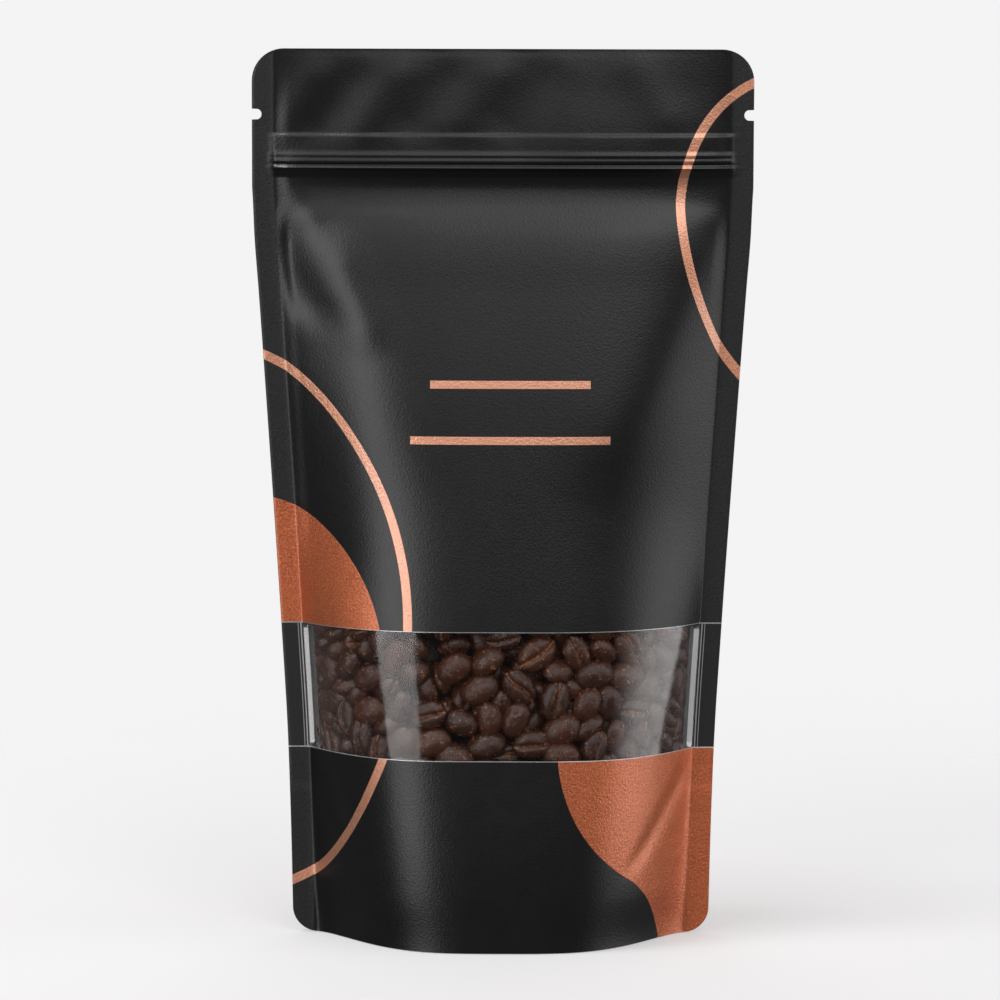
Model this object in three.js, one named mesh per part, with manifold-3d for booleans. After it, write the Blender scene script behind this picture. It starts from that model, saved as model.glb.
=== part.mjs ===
// Stand-up pouch of roasted coffee beans with a clear window band, in millimetres.
// X runs across the front, -Y is the front, +Z is up. The origin is on the floor under the middle.
// The two panels meet in the plane Y = 0, where their side seals are.
import * as THREE from 'three';
import { mergeVertices } from 'three/addons/utils/BufferGeometryUtils.js';
import Module from 'manifold-3d';

// The pouch laid flat
const WIDTH = 140;
const HEIGHT = 250;
const SIDE_SEAL = 6;
const SEAL_THICKNESS = 0.6;
const CORNER_RADIUS = 9;
const FOOT_CORNER_RADIUS = 7;

// The filled pouch at a few heights: half its width, how far each panel stands out of the seal plane,
// how square the crown of its section is and how softly its shoulders run out into the side seals
const STATIONS = [
  { z: 0, halfWidth: 59, bulge: 30.5, crown: 3.5, shoulder: 1.75 },
  { z: 15, halfWidth: 59.2, bulge: 30.7, crown: 3.5, shoulder: 1.4 },
  { z: 53, halfWidth: 60.2, bulge: 28.5, crown: 3.4, shoulder: 1.1 },
  { z: 88, halfWidth: 62.1, bulge: 25, crown: 3, shoulder: 0.95 },
  { z: 120, halfWidth: 64.1, bulge: 21, crown: 2.8, shoulder: 1.05 },
  { z: 155, halfWidth: 66.4, bulge: 16, crown: 3.5, shoulder: 1.05 },
  { z: 183, halfWidth: 68.3, bulge: 11, crown: 3.7, shoulder: 1.05 },
  { z: 198, halfWidth: 69.4, bulge: 7.9, crown: 3.7, shoulder: 1.05 },
  { z: 203, halfWidth: 69.6, bulge: 5.7, crown: 3.8, shoulder: 1 },
  { z: 208, halfWidth: 69.8, bulge: 2.9, crown: 3.9, shoulder: 1 },
  { z: 212, halfWidth: WIDTH / 2, bulge: 2.2, crown: 4, shoulder: 1 },
  { z: 217, halfWidth: WIDTH / 2, bulge: 3.1, crown: 4, shoulder: 1 },
  { z: 228.5, halfWidth: WIDTH / 2, bulge: 2.4, crown: 4, shoulder: 1 },
  { z: 239, halfWidth: WIDTH / 2, bulge: 1.45, crown: 4, shoulder: 1 },
  { z: 244, halfWidth: WIDTH / 2, bulge: 0.95, crown: 4, shoulder: 1 },
  { z: 247.5, halfWidth: WIDTH / 2, bulge: 0.45, crown: 4, shoulder: 1 },
  { z: HEIGHT, halfWidth: WIDTH / 2, bulge: 0, crown: 4, shoulder: 1 },
];

// Press zip: a flat tape behind the film, with ribs that show through it near its lower edge
const ZIP_TAPE = { top: 226.2, bottom: 215, rise: 0.6, topSlope: 1.1, bottomSlope: 2 };
const ZIP_RIBS = [
  { z: 220.5, rise: 0.5, spread: 0.7 },
  { z: 219, rise: 0.65, spread: 0.75 },
  { z: 217.75, rise: -0.75, spread: 0.42 },
  { z: 217.3, rise: 1.1, spread: 0.95 },
];
const ZIP_HALF_LENGTH = 65.5;
const ZIP_END_FADE = 2.2;

// Tear notches, one in each side seal
const NOTCH_HEIGHT = 231.7;
const NOTCH_WIDTH = 3;
const NOTCH_DEPTH = 2.7;

// Soft creases in the two panels: each is a ridge, or a valley where its rise is negative, along an
// arc from one point (x, z) to another. It spreads to the left and to the right of that line.
const FRONT_CREASES = [
  { from: [-61, 207], to: [-44.6, 170], rise: -1.15, left: 6.2, right: 5, bow: 6 },
  { from: [-49, 199], to: [-35, 163], rise: 0.6, left: 5.5, right: 6.6, bow: -0.5 },
  { from: [-50.5, 188], to: [-49.5, 90], rise: -0.9, left: 11, right: 10, bow: 0 },
  { from: [-63, 220], to: [-49.5, 200], rise: 0.5, left: 5.5, right: 4.2, bow: 1 },
  { from: [66, 214], to: [24, 122], rise: 0.8, left: 9, right: 12, bow: 0 },
  { from: [53.5, 52], to: [33.5, 18], rise: -0.75, left: 2.4, right: 1.7, bow: -0.8 },
  { from: [-51.5, 48], to: [-44, 30], rise: -0.9, left: 3, right: 3, bow: 0 },
  { from: [-66, 223], to: [-48.5, 249], rise: 0.35, left: 5, right: 5, bow: 0 },
  { from: [-55.5, 222], to: [-37.6, 248], rise: -0.45, left: 5, right: 5, bow: 0 },
  { from: [-43.5, 220], to: [-25.6, 250], rise: 0.4, left: 4.5, right: 4.5, bow: 0 },
  { from: [-30, 223], to: [-11, 249], rise: -0.45, left: 5.5, right: 5.5, bow: 0 },
  { from: [-16.5, 223], to: [1.5, 249], rise: 0.3, left: 5, right: 5, bow: 0 },
  { from: [-3, 223], to: [15, 249], rise: -0.4, left: 7, right: 7, bow: 0 },
  { from: [31, 253], to: [51, 224], rise: 0.35, left: 6, right: 6, bow: 0 },
  { from: [70, 222], to: [5, 222], rise: 1.1, left: 5, right: 15, bow: 0 },
];
const BACK_CREASES = [
  { from: [61.5, 212], to: [40, 174], rise: -2.6, left: 5, right: 6, bow: -1.5 },
  { from: [-60, 208], to: [-24, 140], rise: 1.2, left: 9, right: 9, bow: 0 },
  { from: [-52, 50], to: [-38, 20], rise: -1.2, left: 3, right: 4, bow: 1.5 },
  { from: [52, 46], to: [44, 26], rise: -1, left: 3, right: 3, bow: 0 },
  { from: [-42, 227], to: [-28, 244], rise: -0.8, left: 4.5, right: 4.5, bow: 0 },
  { from: [8, 244], to: [22, 227], rise: -0.8, left: 5, right: 5, bow: 0 },
  { from: [40, 228], to: [52, 243], rise: 0.6, left: 5, right: 5, bow: 0 },
];
const CREASE_FADE = 0.28;         // of a crease's length, at either end
const CREASE_MARGIN = 0.07;       // of the half width, beside the side seals

// Clear window band between the side seals, and the beans seen through it
const WINDOW_BOTTOM = 53.2;
const WINDOW_TOP = 88.7;
const WINDOW_EDGE = 0.95;         // of the half width between the side seals
const WINDOW_FILM = 0.4;
const POCKET_DEPTH = 0.5;         // of the front panel's bulge
const GAP = 0.3;
const BEAN_PITCH = 8.5;
const BEAN_RELIEF = 2.2;

// Base: the pouch stands on its rim and on the flat middle of the gusset, with a groove between
const RIM_WIDTH = 1.5;
const GUSSET_GROOVE_WIDTH = 6;
const GUSSET_GROOVE_DEPTH = 2;
const GUSSET_REACH = 0.93;        // of the half width between the side seals

// Rows and columns of facets
const SIDE_COLUMNS = 12;          // between the middle and each side seal
const ROW_BANDS = [
  { to: WINDOW_BOTTOM, rows: 9 },
  { to: WINDOW_TOP, rows: 6 },
  { to: 211, rows: 19 },
  { to: 216, rows: 3 },
  { to: 221.6, rows: 8 },
  { to: 225.6, rows: 2 },
  { to: 226.8, rows: 1 },
  { to: HEIGHT, rows: 7 },
];
const WINDOW_ROWS = 6;
const BEAN_COLUMNS = 36;
const BEAN_ROWS = 12;

const wasm = await Module();
wasm.setup();

// Smooth curve through the stations that never overshoots them
function along(z, key) {
  const last = STATIONS.length - 2;
  let i = STATIONS.findIndex((s) => s.z > z) - 1;
  if (i < 0) i = last;
  const slopeAt = (k) => {
    if (k <= 0 || k >= STATIONS.length - 1) return 0;
    const [a, b, c] = [STATIONS[k - 1], STATIONS[k], STATIONS[k + 1]];
    const before = (b[key] - a[key]) / (b.z - a.z);
    const after = (c[key] - b[key]) / (c.z - b.z);
    return before * after <= 0 ? 0 : (2 * before * after) / (before + after);
  };
  const [low, high] = [STATIONS[i], STATIONS[i + 1]];
  const span = high.z - low.z;
  const f = (z - low.z) / span;
  const hermite = (2 * f ** 3 - 3 * f ** 2 + 1) * low[key] + (3 * f ** 2 - 2 * f ** 3) * high[key];
  return hermite + span * ((f ** 3 - 2 * f ** 2 + f) * slopeAt(i) + (f ** 3 - f ** 2) * slopeAt(i + 1));
}

// Half the distance between the side seals
const innerHalf = (z) => along(z, 'halfWidth') - SIDE_SEAL;

const smooth = (f) => THREE.MathUtils.smoothstep(f, 0, 1);

function creaseHeight({ from, to, rise, left, right, bow }, x, z) {
  const [runX, runZ] = [to[0] - from[0], to[1] - from[1]];
  const [offX, offZ] = [x - from[0], z - from[1]];
  const length = Math.hypot(runX, runZ);
  const f = (offX * runX + offZ * runZ) / length ** 2;
  const aside = (offX * runZ - offZ * runX) / length - 4 * bow * f * (1 - f);
  const ends = smooth(f / CREASE_FADE) * smooth((1 - f) / CREASE_FADE);
  return rise * ends * Math.exp(-((aside / (aside > 0 ? right : left)) ** 2));
}

function zipHeight(x, z) {
  let height = ZIP_TAPE.rise * smooth((ZIP_TAPE.top - z) / ZIP_TAPE.topSlope + 0.5);
  height *= smooth((z - ZIP_TAPE.bottom) / ZIP_TAPE.bottomSlope + 0.5);
  for (const rib of ZIP_RIBS) {
    height += rib.rise * Math.exp(-(((z - rib.z) / rib.spread) ** 2));
  }
  return height * smooth((ZIP_HALF_LENGTH - Math.abs(x)) / ZIP_END_FADE);
}

// How far a panel stands in front of the seal plane
function panelDepth(x, z, creases = FRONT_CREASES) {
  const t = Math.min(1, Math.abs(x) / innerHalf(z));
  const section = (1 - t ** along(z, 'crown')) ** along(z, 'shoulder');
  const folds = creases.reduce((sum, crease) => sum + creaseHeight(crease, x, z), 0);
  const relief = zipHeight(x, z) + folds * smooth((1 - t) / CREASE_MARGIN);
  return SEAL_THICKNESS / 2 + Math.max(0, along(z, 'bulge') * section + relief);
}

// A box of facets whose points are moved to place(u, depth, v): u across, depth front to back, v upwards
function facetedBlock(columns, rows, place) {
  const block = new THREE.BoxGeometry(1, 1, 1, columns, 1, rows);
  const points = block.attributes.position;
  for (let i = 0; i < points.count; i++) {
    points.setXYZ(i, ...place(points.getX(i) + 0.5, points.getY(i) + 0.5, points.getZ(i) + 0.5));
  }
  return toManifold(block);
}

function toManifold(geometry) {
  geometry.deleteAttribute('normal');
  geometry.deleteAttribute('uv');
  const merged = mergeVertices(geometry, 1e-4);
  return new wasm.Manifold(new wasm.Mesh({
    numProp: 3,
    vertProperties: new Float32Array(merged.attributes.position.array),
    triVerts: new Uint32Array(merged.index.array),
  }));
}

function toMesh(name, solid, material) {
  const { vertProperties, triVerts } = solid.getMesh();
  const geometry = new THREE.BufferGeometry();
  geometry.setAttribute('position', new THREE.BufferAttribute(vertProperties, 3));
  geometry.setIndex(new THREE.BufferAttribute(triVerts, 1));
  geometry.computeVertexNormals();
  const mesh = new THREE.Mesh(geometry, material);
  mesh.name = name;
  return mesh;
}

// Height of a row: the rows are evenly spaced inside each band of ROW_BANDS
function rowHeight(v) {
  const total = ROW_BANDS.reduce((sum, band) => sum + band.rows, 0);
  let row = v * total;
  let from = 0;
  for (const band of ROW_BANDS) {
    if (row <= band.rows) return THREE.MathUtils.lerp(from, band.to, row / band.rows);
    row -= band.rows;
    from = band.to;
  }
  return HEIGHT;
}

// Place across the pouch, from side seal to side seal: the columns crowd together near the seals
function columnPlace(u, z) {
  const columns = 2 * SIDE_COLUMNS + 2;
  const step = Math.round(u * columns) - SIDE_COLUMNS - 1;
  if (Math.abs(step) > SIDE_COLUMNS) return Math.sign(step) * (innerHalf(z) + SIDE_SEAL);
  return innerHalf(z) * Math.sin((Math.PI / 2) * (step / SIDE_COLUMNS));
}

// Upright bar along Y with the given outline, for cutting the sealed edges
function edgeCutter(outline) {
  const length = 80;
  const bar = new THREE.ExtrudeGeometry(outline, { depth: length, bevelEnabled: false, curveSegments: 8 });
  bar.translate(0, 0, -length / 2);
  bar.rotateX(Math.PI / 2);
  return toManifold(bar);
}

// What a rounded corner takes away, at the corner (x, z) of the flat seals
function cornerCutter(x, z, radius) {
  const [right, up] = [Math.sign(x), z > HEIGHT / 2 ? 1 : -1];
  const [centreX, centreZ] = [x - right * radius, z - up * radius];
  const outline = new THREE.Shape();
  outline.moveTo(centreX, z + up);
  outline.lineTo(x + right, z + up);
  outline.lineTo(x + right, centreZ);
  outline.absarc(centreX, centreZ, radius, right > 0 ? 0 : Math.PI, (up * Math.PI) / 2, right * up < 0);
  return edgeCutter(outline);
}

function notchCutter(side) {
  const edge = side * (WIDTH / 2);
  const tip = edge - side * (NOTCH_DEPTH - NOTCH_WIDTH / 2);
  const outline = new THREE.Shape();
  outline.moveTo(edge + side, NOTCH_HEIGHT - NOTCH_WIDTH / 2);
  outline.lineTo(tip, NOTCH_HEIGHT - NOTCH_WIDTH / 2);
  outline.absarc(tip, NOTCH_HEIGHT, NOTCH_WIDTH / 2, -Math.PI / 2, Math.PI / 2, side > 0);
  outline.lineTo(edge + side, NOTCH_HEIGHT + NOTCH_WIDTH / 2);
  return edgeCutter(outline);
}

// Lens-shaped outline on the floor, inside the pouch's rim by the given distance
function footprint(inset, Outline) {
  const steps = 24;
  const { bulge, crown, shoulder } = STATIONS[0];
  const reach = innerHalf(0) * GUSSET_REACH - inset;
  const outline = new Outline();
  for (const side of [-1, 1]) {
    for (let i = 0; i < steps; i++) {
      const x = side * Math.cos((Math.PI * i) / steps);
      const y = side * (bulge - inset) * (1 - Math.abs(x) ** crown) ** shoulder;
      if (side === -1 && i === 0) outline.moveTo(x * reach, y);
      else outline.lineTo(x * reach, y);
    }
  }
  return outline;
}

function gussetGroove() {
  const ring = footprint(RIM_WIDTH, THREE.Shape);
  ring.holes.push(footprint(RIM_WIDTH + GUSSET_GROOVE_WIDTH, THREE.Path));
  const groove = new THREE.ExtrudeGeometry(ring, { depth: GUSSET_GROOVE_DEPTH + 1, bevelEnabled: false });
  groove.translate(0, 0, -1);
  return toManifold(groove);
}

// Part of the front panel's band between two depths, inset all round by the given distance
function windowBlock(columns, rows, inset, frontDepth, backDepth) {
  return facetedBlock(columns, rows, (u, depth, v) => {
    const z = THREE.MathUtils.lerp(WINDOW_BOTTOM + inset, WINDOW_TOP - inset, v);
    const reach = innerHalf(z) * WINDOW_EDGE - inset;
    const x = reach * Math.sin((Math.PI / 2) * (2 * u - 1));
    return [x, -(depth < 0.5 ? frontDepth(x, z) : backDepth(x, z)), z];
  });
}

const pocketFloor = (x, z) => panelDepth(x, z) * (1 - POCKET_DEPTH);

// Depth of the beans' rounded backs under the film, laid out in staggered rows
function beanHollow(x, z) {
  let crown = 0;
  const rowPitch = BEAN_PITCH * Math.sin(Math.PI / 3);
  const firstRow = Math.round(z / rowPitch) - 1;
  for (let row = firstRow; row < firstRow + 3; row++) {
    const shift = row % 2 ? BEAN_PITCH / 2 : 0;
    const beanX = Math.round((x - shift) / BEAN_PITCH) * BEAN_PITCH + shift;
    const reach = Math.hypot(x - beanX, z - row * rowPitch) / (BEAN_PITCH * 0.62);
    crown = Math.max(crown, Math.sqrt(Math.max(0, 1 - reach ** 2)));
  }
  return BEAN_RELIEF * (1 - crown);
}

function makePouch() {
  const columns = 2 * SIDE_COLUMNS + 2;
  const rows = ROW_BANDS.reduce((sum, band) => sum + band.rows, 0);
  const filled = facetedBlock(columns, rows, (u, depth, v) => {
    const z = rowHeight(v);
    const x = columnPlace(u, z);
    const y = depth < 0.5 ? -panelDepth(x, z, FRONT_CREASES) : panelDepth(x, z, BACK_CREASES);
    return [x, y, z];
  });
  const foot = innerHalf(0) + SIDE_SEAL;
  const pocket = windowBlock(2 * SIDE_COLUMNS, WINDOW_ROWS, 0, (x, z) => panelDepth(x, z) + 5, pocketFloor);
  let pouch = filled.subtract(pocket).subtract(gussetGroove());
  for (const side of [-1, 1]) {
    pouch = pouch.subtract(cornerCutter(side * (WIDTH / 2), HEIGHT, CORNER_RADIUS));
    pouch = pouch.subtract(cornerCutter(side * foot, 0, FOOT_CORNER_RADIUS));
    pouch = pouch.subtract(notchCutter(side));
  }
  return pouch;
}

function makeWindow() {
  const inside = (x, z) => panelDepth(x, z) - WINDOW_FILM;
  return windowBlock(2 * SIDE_COLUMNS, WINDOW_ROWS, GAP, panelDepth, inside);
}

function makeBeans() {
  const front = (x, z) => {
    const room = panelDepth(x, z) - pocketFloor(x, z) - WINDOW_FILM - 3 * GAP;
    return panelDepth(x, z) - WINDOW_FILM - 1.5 * GAP - Math.min(beanHollow(x, z), room / 2);
  };
  return windowBlock(BEAN_COLUMNS, BEAN_ROWS, GAP, front, (x, z) => pocketFloor(x, z) + GAP);
}

const blackFoil = new THREE.MeshStandardMaterial({ color: 0x1d1e20, roughness: 0.5, metalness: 0.3 });
const clearFilm = new THREE.MeshStandardMaterial({
  color: 0xe4e8ea, roughness: 0.1, metalness: 0, transparent: true, opacity: 0.35,
});
const roastedBean = new THREE.MeshStandardMaterial({ color: 0x3b2219, roughness: 0.45, metalness: 0 });

const pouchOfBeans = new THREE.Group();
pouchOfBeans.add(toMesh('pouch', makePouch(), blackFoil));
pouchOfBeans.add(toMesh('window', makeWindow(), clearFilm));
pouchOfBeans.add(toMesh('beans', makeBeans(), roastedBean));

export default pouchOfBeans;
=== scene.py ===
import bpy
import numpy as np
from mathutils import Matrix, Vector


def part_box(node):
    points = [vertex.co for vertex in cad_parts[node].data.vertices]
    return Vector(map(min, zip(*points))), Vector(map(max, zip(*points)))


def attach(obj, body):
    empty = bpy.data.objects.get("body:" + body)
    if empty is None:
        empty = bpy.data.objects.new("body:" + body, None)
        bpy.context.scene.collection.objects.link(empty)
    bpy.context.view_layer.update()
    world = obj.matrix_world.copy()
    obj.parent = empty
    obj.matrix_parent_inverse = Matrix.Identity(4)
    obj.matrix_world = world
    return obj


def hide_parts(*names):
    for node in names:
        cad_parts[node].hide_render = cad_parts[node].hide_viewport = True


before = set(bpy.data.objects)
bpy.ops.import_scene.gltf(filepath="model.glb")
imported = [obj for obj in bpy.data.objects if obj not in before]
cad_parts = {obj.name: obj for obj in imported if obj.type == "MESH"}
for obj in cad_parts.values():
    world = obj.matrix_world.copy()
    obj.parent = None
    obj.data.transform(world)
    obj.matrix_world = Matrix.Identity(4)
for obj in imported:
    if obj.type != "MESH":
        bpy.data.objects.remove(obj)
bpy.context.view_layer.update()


# Pouch: black laminate film, silver inside, printed with copper. The front and back panels are
# sealed to each other down both sides and along the top, and to a folded gusset at the foot.
# In millimetres: x is across the front, z is up, and depth is from the plane of the side seals.
MM = 0.001
pouch_low, pouch_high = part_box("pouch")
WIDTH = (pouch_high.x - pouch_low.x) / MM
HEIGHT = pouch_high.z / MM
SIDE_SEAL = 6.0
SEAL_THICKNESS = 0.6
SEALED_EDGE = 0.12
TOP_CORNER = 9.0
FOOT_CORNER = 7.0
NOTCH_HEIGHT, NOTCH_RADIUS, NOTCH_DEPTH = 231.7, 1.5, 2.7
WINDOW_BOTTOM, WINDOW_TOP = 53.2, 88.7
FLAT_HALF = WIDTH / 2 - SIDE_SEAL

# The rows of the film bow up a little at the middle, between these heights
WINDOW_RISE, RISE_LOW, RISE_HIGH, RISE_BLEND = 0.7, 30.0, 115.0, 20.0

# The filled pouch at a few heights: half its width, how far a panel stands out, how square the
# crown of its section is, and how softly its shoulders run out into the side seals
HALF_WIDTH, BULGE, CROWN, SHOULDER = 1, 2, 3, 4
STATIONS = np.array([
    (0.0, 59.0, 30.5, 3.5, 1.75),
    (15.0, 59.2, 30.7, 3.5, 1.4),
    (53.0, 60.2, 28.5, 3.4, 1.1),
    (88.0, 62.1, 25.0, 3.0, 0.95),
    (120.0, 64.1, 21.0, 2.8, 1.05),
    (155.0, 66.4, 16.0, 3.5, 1.05),
    (183.0, 68.3, 11.0, 3.7, 1.05),
    (198.0, 69.4, 7.9, 3.7, 1.05),
    (203.0, 69.6, 5.7, 3.8, 1.0),
    (208.0, 69.8, 2.9, 3.9, 1.0),
    (212.0, WIDTH / 2, 2.2, 4.0, 1.0),
    (217.0, WIDTH / 2, 3.1, 4.0, 1.0),
    (228.5, WIDTH / 2, 2.4, 4.0, 1.0),
    (239.0, WIDTH / 2, 1.45, 4.0, 1.0),
    (244.0, WIDTH / 2, 0.95, 4.0, 1.0),
    (247.5, WIDTH / 2, 0.45, 4.0, 1.0),
    (HEIGHT, WIDTH / 2, 0.0, 4.0, 1.0),
])

# Press zip: a flat tape behind the film, with ribs that show through
ZIP_HALF_LENGTH, ZIP_END_BLEND = 65.5, 2.2
ZIP_TAPE_TOP, ZIP_TAPE_BOTTOM, ZIP_TAPE_RISE = 226.2, 215.0, 0.6
TAPE_TOP_BLEND, TAPE_BOTTOM_BLEND = 1.1, 2.0
ZIP_RIBS = (                      # height, rise, half width
    (220.5, 0.5, 0.7),
    (219.0, 0.65, 0.75),
    (217.75, -0.75, 0.42),
    (217.3, 1.1, 0.95),
)

# Soft creases: start, end (x, z), rise, spread on the left and on the right of the line, bow
FRONT_CREASES = (
    ((-61.0, 207.0), (-44.6, 170.0), -1.15, 6.2, 5.0, 6.0),
    ((-49.0, 199.0), (-35.0, 163.0), 0.6, 5.5, 6.6, -0.5),
    ((-50.5, 188.0), (-49.5, 90.0), -0.9, 11.0, 10.0, 0.0),
    ((-63.0, 220.0), (-49.5, 200.0), 0.5, 5.5, 4.2, 1.0),
    ((66.0, 214.0), (24.0, 122.0), 0.8, 9.0, 12.0, 0.0),
    ((53.5, 52.0), (33.5, 18.0), -0.75, 2.4, 1.7, -0.8),
    ((-51.5, 48.0), (-44.0, 30.0), -0.9, 3.0, 3.0, 0.0),
    ((-66.0, 223.0), (-48.5, 249.0), 0.35, 5.0, 5.0, 0.0),
    ((-55.5, 222.0), (-37.6, 248.0), -0.45, 5.0, 5.0, 0.0),
    ((-43.5, 220.0), (-25.6, 250.0), 0.4, 4.5, 4.5, 0.0),
    ((-30.0, 223.0), (-11.0, 249.0), -0.45, 5.5, 5.5, 0.0),
    ((-16.5, 223.0), (1.5, 249.0), 0.3, 5.0, 5.0, 0.0),
    ((-3.0, 223.0), (15.0, 249.0), -0.4, 7.0, 7.0, 0.0),
    ((31.0, 253.0), (51.0, 224.0), 0.35, 6.0, 6.0, 0.0),
    ((70.0, 222.0), (5.0, 222.0), 1.1, 5.0, 15.0, 0.0),
)
BACK_CREASES = (
    ((61.5, 212.0), (40.0, 174.0), -2.6, 5.0, 6.0, -1.5),
    ((-60.0, 208.0), (-24.0, 140.0), 1.2, 9.0, 9.0, 0.0),
    ((-52.0, 50.0), (-38.0, 20.0), -1.2, 3.0, 4.0, 1.5),
    ((52.0, 46.0), (44.0, 26.0), -1.0, 3.0, 3.0, 0.0),
    ((-42.0, 227.0), (-28.0, 244.0), -0.8, 4.5, 4.5, 0.0),
    ((8.0, 244.0), (22.0, 227.0), -0.8, 5.0, 5.0, 0.0),
    ((40.0, 228.0), (52.0, 243.0), 0.6, 5.0, 5.0, 0.0),
)
CREASE_FADE = 0.28                # the part of its length over which a crease rises at each end
CREASE_MARGIN = 0.07              # and the part of the panel's half width, beside the seals
SEAL_BEAD, SEAL_BEAD_WIDTH = 0.1, 0.45
GUSSET_TOP, GUSSET_STEP, GUSSET_BLEND, GUSSET_INSET = 42.0, 0.16, 0.6, 1.5
LEAST_SEAL = 1.0


def smooth(f):
    """Softly from 0 where f is 0 or less to 1 where it is 1 or more"""
    f = np.clip(f, 0, 1)
    return f * f * (3 - 2 * f)


def along(z, column):
    """A column of the stations at height z, on a smooth curve that never overshoots them"""
    heights, values = STATIONS[:, 0], STATIONS[:, column]
    slopes = np.diff(values) / np.diff(heights)
    before, after = slopes[:-1], slopes[1:]
    level = before * after <= 0
    tangents = np.zeros(len(heights))
    tangents[1:-1] = np.where(level, 0, 2 * before * after / np.where(level, 1, before + after))
    z = np.clip(z, 0, HEIGHT)
    i = np.clip(np.searchsorted(heights, z, side="right") - 1, 0, len(heights) - 2)
    step = heights[i + 1] - heights[i]
    f = (z - heights[i]) / step
    ends = (2 * f**3 - 3 * f**2 + 1) * values[i] + (3 * f**2 - 2 * f**3) * values[i + 1]
    return ends + step * ((f**3 - 2 * f**2 + f) * tangents[i] + (f**3 - f**2) * tangents[i + 1])


def inner_width(z):
    """Half the distance between the side seals"""
    return along(z, HALF_WIDTH) - SIDE_SEAL


def outer_edge(z):
    """Half the width of the sealed outline, with its rounded corners and its notches"""
    edge = along(z, HALF_WIDTH)
    above = np.clip(z - (HEIGHT - TOP_CORNER), 0, TOP_CORNER)
    edge = edge - TOP_CORNER + np.sqrt(TOP_CORNER**2 - above**2)
    below = np.clip(FOOT_CORNER - z, 0, FOOT_CORNER)
    edge = edge - FOOT_CORNER + np.sqrt(FOOT_CORNER**2 - below**2)
    in_notch = NOTCH_RADIUS**2 - (z - NOTCH_HEIGHT) ** 2
    tip = NOTCH_DEPTH - NOTCH_RADIUS + np.sqrt(np.maximum(in_notch, 0))
    return edge - np.where(in_notch > 1e-6, tip, 0)


def crease(x, z, start, end, rise, left, right, bow):
    """A soft ridge, or a valley where rise is negative, along an arc of the panel"""
    run = np.subtract(end, start)
    length = np.hypot(*run)
    f = ((x - start[0]) * run[0] + (z - start[1]) * run[1]) / length**2
    aside = ((x - start[0]) * run[1] - (z - start[1]) * run[0]) / length - 4 * bow * f * (1 - f)
    spread = np.where(aside > 0, right, left)
    ends = smooth(f / CREASE_FADE) * smooth((1 - f) / CREASE_FADE)
    return rise * ends * np.exp(-((aside / spread) ** 2))


def zip_relief(x, z):
    """How far the zip behind the film pushes it out"""
    below_top = smooth((ZIP_TAPE_TOP - z) / TAPE_TOP_BLEND + 0.5)
    above_bottom = smooth((z - ZIP_TAPE_BOTTOM) / TAPE_BOTTOM_BLEND + 0.5)
    relief = ZIP_TAPE_RISE * (below_top * above_bottom)
    for height, rise, spread in ZIP_RIBS:
        relief = relief + rise * np.exp(-(((z - height) / spread) ** 2))
    return relief * smooth((ZIP_HALF_LENGTH - np.abs(x)) / ZIP_END_BLEND)


def panel_depth(x, z, creases):
    """How far a panel's outer face stands in front of the plane of the seals"""
    t = np.minimum(1, np.abs(x) / inner_width(z))
    section = (1 - t ** along(z, CROWN)) ** along(z, SHOULDER)
    relief = zip_relief(x, z)
    for one in creases:
        relief = relief + crease(x, z, *one) * smooth((1 - t) / CREASE_MARGIN)
    past_film = np.abs(x) - inner_width(z)
    bead = SEAL_BEAD * np.exp(-((past_film / SEAL_BEAD_WIDTH) ** 2))
    below_gusset_top = smooth((GUSSET_TOP - z) / GUSSET_BLEND + 0.5)
    gusset = GUSSET_STEP * below_gusset_top * smooth(past_film / GUSSET_INSET + 1)
    relief = np.where(t < 1, relief, np.maximum(relief, 0))
    bulge = np.maximum(0, along(z, BULGE) * section + relief)
    return SEAL_THICKNESS / 2 + bulge + bead + gusset


def spaced(start, end, step):
    """Evenly spaced values from start to end, about a step apart"""
    return np.linspace(start, end, max(2, int(round((end - start) / step)) + 1))


# Rows of points up the pouch, closer together at the zip, the notches and the rounded corners
FINE_LOW, FINE_HIGH, NOTCH_MARGIN = 211.0, 227.0, 2.0
quarter = np.linspace(0, np.pi / 2, 13)
notch_rows = NOTCH_HEIGHT + np.append(NOTCH_RADIUS * np.sin(np.linspace(-np.pi / 2, np.pi / 2, 11)),
                                      [-NOTCH_RADIUS - 0.02, NOTCH_RADIUS + 0.02])
rows = np.unique(np.concatenate([
    FOOT_CORNER * (1 - np.cos(quarter)),
    spaced(FOOT_CORNER, WINDOW_BOTTOM, 1.2),
    spaced(WINDOW_BOTTOM, WINDOW_TOP, 1.2),
    spaced(WINDOW_TOP, FINE_LOW, 1.1),
    spaced(FINE_LOW, FINE_HIGH, 0.3),
    spaced(FINE_HIGH, NOTCH_HEIGHT - NOTCH_MARGIN, 0.9),
    notch_rows,
    spaced(NOTCH_HEIGHT + NOTCH_MARGIN, HEIGHT - TOP_CORNER, 1.0),
    HEIGHT - TOP_CORNER + TOP_CORNER * np.sin(quarter),
]).round(4))

# Columns of points across it: a share of the way to the seal's inner line, then of the seal
evenly = np.linspace(-1, 1, 133)
film_columns = 0.5 * np.sin(evenly * np.pi / 2) + 0.5 * evenly
seal_columns = np.array([0.05, 0.12, 0.3, 0.5, 0.7, 0.85, 0.965, 1.0])
SEAL = len(seal_columns)
columns = len(film_columns) + 2 * SEAL


def seal_line(z):
    """x of the inner edge of the side seal, a column for each of the heights z"""
    return np.minimum(inner_width(z), outer_edge(z) - LEAST_SEAL)[:, None]


def across(z):
    """x of every column at each of the heights z"""
    inner = seal_line(z)
    seal = inner + (outer_edge(z)[:, None] - inner) * seal_columns
    return np.hstack([-seal[:, ::-1], inner * film_columns, seal])


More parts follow.
